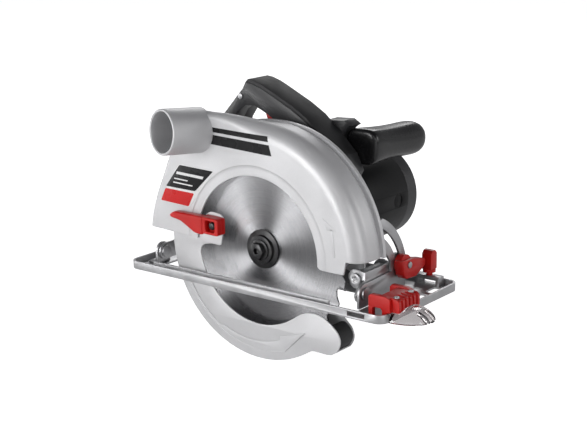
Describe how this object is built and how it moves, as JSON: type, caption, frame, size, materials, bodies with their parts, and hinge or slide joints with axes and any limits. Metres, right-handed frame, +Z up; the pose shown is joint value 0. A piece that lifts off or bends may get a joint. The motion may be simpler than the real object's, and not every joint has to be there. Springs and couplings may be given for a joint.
{
  "type": "circular saw",
  "caption": "Hand-held corded circular saw with a tilting pressed base, silver blade guards, side motor, D-handle and front grip.",
  "frame": {"origin": "on the sole, on the base plate's centre line, straight below the blade axle", "axes": "+X to the front of the saw, +Y to the motor side, +Z up from the sole"},
  "size_m": [0.332, 0.2248, 0.2532],
  "materials": {
    "zinc_steel": "zinc-plated pressed steel, satin",
    "red_plastic": "satin red moulding",
    "clear_plastic": "clear moulding",
    "silver_casting": "satin silver paint on a casting",
    "silver_plastic": "satin silver paint",
    "lower_guard_silver": "satin silver, a little darker than the upper guard",
    "label_print": "printed foil in plain colour fields",
    "cast_aluminium": "die-cast, matt",
    "blade_steel": "ground steel with circular grain",
    "carbide": "sintered carbide",
    "black_oxide": "black oxide",
    "machined_steel": "turned steel",
    "lamination_steel": "stacked laminations",
    "copper": "enamelled copper",
    "brass": "brass",
    "carbon": "pressed carbon",
    "black_plastic": "fine-textured black moulding",
    "grey_plastic": "fine-textured dark grey moulding",
    "soft_rubber": "soft overmould"
  },
  "bodies": {
    "base": {"base_plate": "zinc_steel", "bevel_quadrant": "zinc_steel", "rear_upstand": "zinc_steel", "base_rivets": "zinc_steel", "fence_bridge": "zinc_steel", "indicator_frame": "red_plastic", "sight_window": "clear_plastic", "indicator_screws": "zinc_steel"},
    "head": {"upper_guard": "silver_casting", "hinge_sleeve": "zinc_steel", "dust_spout": "silver_plastic", "label_plate": "label_print", "gear_case": "cast_aluminium", "bearing_plate": "cast_aluminium", "case_screws": "zinc_steel", "spindle_bearings": "machined_steel", "guard_circlip": "zinc_steel", "guard_spring": "zinc_steel", "depth_bolt": "zinc_steel", "motor_housing": "black_plastic", "motor_end_cap": "grey_plastic", "motor_bearings": "machined_steel", "stator_core": "lamination_steel", "field_windings": "copper", "brush_holders": "brass", "carbon_brushes": "carbon", "brush_caps": "black_plastic", "handle_shell_near": "grey_plastic", "handle_shell_far": "grey_plastic", "soft_grip": "soft_rubber", "handle_screws": "zinc_steel", "switch_body": "black_plastic", "cord_gland": "black_plastic", "front_handle_bracket": "grey_plastic", "front_handle": "soft_rubber"},
    "fence_knob": {"fence_knob": "red_plastic"},
    "tilt_frame": {"front_bracket": "zinc_steel", "depth_guide": "zinc_steel", "bevel_pins": "zinc_steel", "depth_hinge_pin": "zinc_steel", "bevel_bolt": "zinc_steel"},
    "bevel_knob": {"bevel_knob": "red_plastic"},
    "blade_set": {"blade": "blade_steel", "carbide_tips": "carbide", "inner_flange": "black_oxide", "outer_flange": "black_oxide", "blade_bolt": "black_oxide", "spindle": "machined_steel", "spindle_gear": "machined_steel"},
    "armature": {"armature_shaft": "machined_steel", "armature_core": "lamination_steel", "commutator": "copper", "cooling_fan": "black_plastic"},
    "lower_guard": {"lower_guard": "lower_guard_silver", "guard_lever": "red_plastic", "lever_screw": "zinc_steel"},
    "trigger": {"trigger": "red_plastic"},
    "lock_off_button": {"lock_off_button": "red_plastic"},
    "spindle_lock": {"spindle_lock": "machined_steel"},
    "depth_lever": {"depth_lever": "red_plastic"}
  },
  "joints": [
    {"name": "bevel", "type": "hinge", "parent": "base", "child": "tilt_frame", "pos_m": [0, -0.035, 0.0145], "axis": [1, 0, 0], "range_deg": [0, 45]},
    {"name": "depth", "type": "hinge", "parent": "tilt_frame", "child": "head", "pos_m": [0.1, -0.035, 0.0245], "axis": [0, 1, 0], "range_deg": [-4, 30]},
    {"name": "blade_spin", "type": "hinge", "parent": "head", "child": "blade_set", "pos_m": [0, -0.035, 0.0375], "axis": [0, 1, 0], "continuous": true},
    {"name": "armature_spin", "type": "hinge", "parent": "head", "child": "armature", "pos_m": [0.01408, -0.035, 0.06399], "axis": [0, 1, 0], "continuous": true},
    {"name": "guard_swing", "type": "hinge", "parent": "head", "child": "lower_guard", "pos_m": [0, -0.035, 0.0375], "axis": [0, 1, 0], "range_deg": [0, 110], "stiffness_Nm_per_rad": 0.12, "springref_deg": -126.05},
    {"name": "trigger_press", "type": "slide", "parent": "head", "child": "trigger", "axis": [0.4695, 0, 0.8829], "range_m": [0, 0.005], "stiffness_N_per_m": 600, "springref_m": -0.003},
    {"name": "lock_off_press", "type": "slide", "parent": "head", "child": "lock_off_button", "axis": [0, -1, 0], "range_m": [0, 0.003], "stiffness_N_per_m": 400, "springref_m": -0.002},
    {"name": "spindle_lock_press", "type": "slide", "parent": "head", "child": "spindle_lock", "axis": [1, 0, 0], "range_m": [0, 0.003], "stiffness_N_per_m": 500, "springref_m": -0.002},
    {"name": "depth_lever_turn", "type": "hinge", "parent": "head", "child": "depth_lever", "pos_m": [-0.06954, -0.035, 0.04682], "axis": [0, 1, 0], "range_deg": [0, 55]},
    {"name": "bevel_knob_turn", "type": "hinge", "parent": "tilt_frame", "child": "bevel_knob", "pos_m": [0.11, 0.01896, 0.02947], "axis": [1, 0, 0], "range_deg": [0, 120]},
    {"name": "fence_knob_turn", "type": "hinge", "parent": "base", "child": "fence_knob", "pos_m": [0.122, 0.0555, 0.012], "axis": [0, 0, 1], "range_deg": [0, 90]}
  ],
  "couplings": [
    {"joint": "armature_spin", "follows": "blade_spin", "ratio": -4}
  ]
}
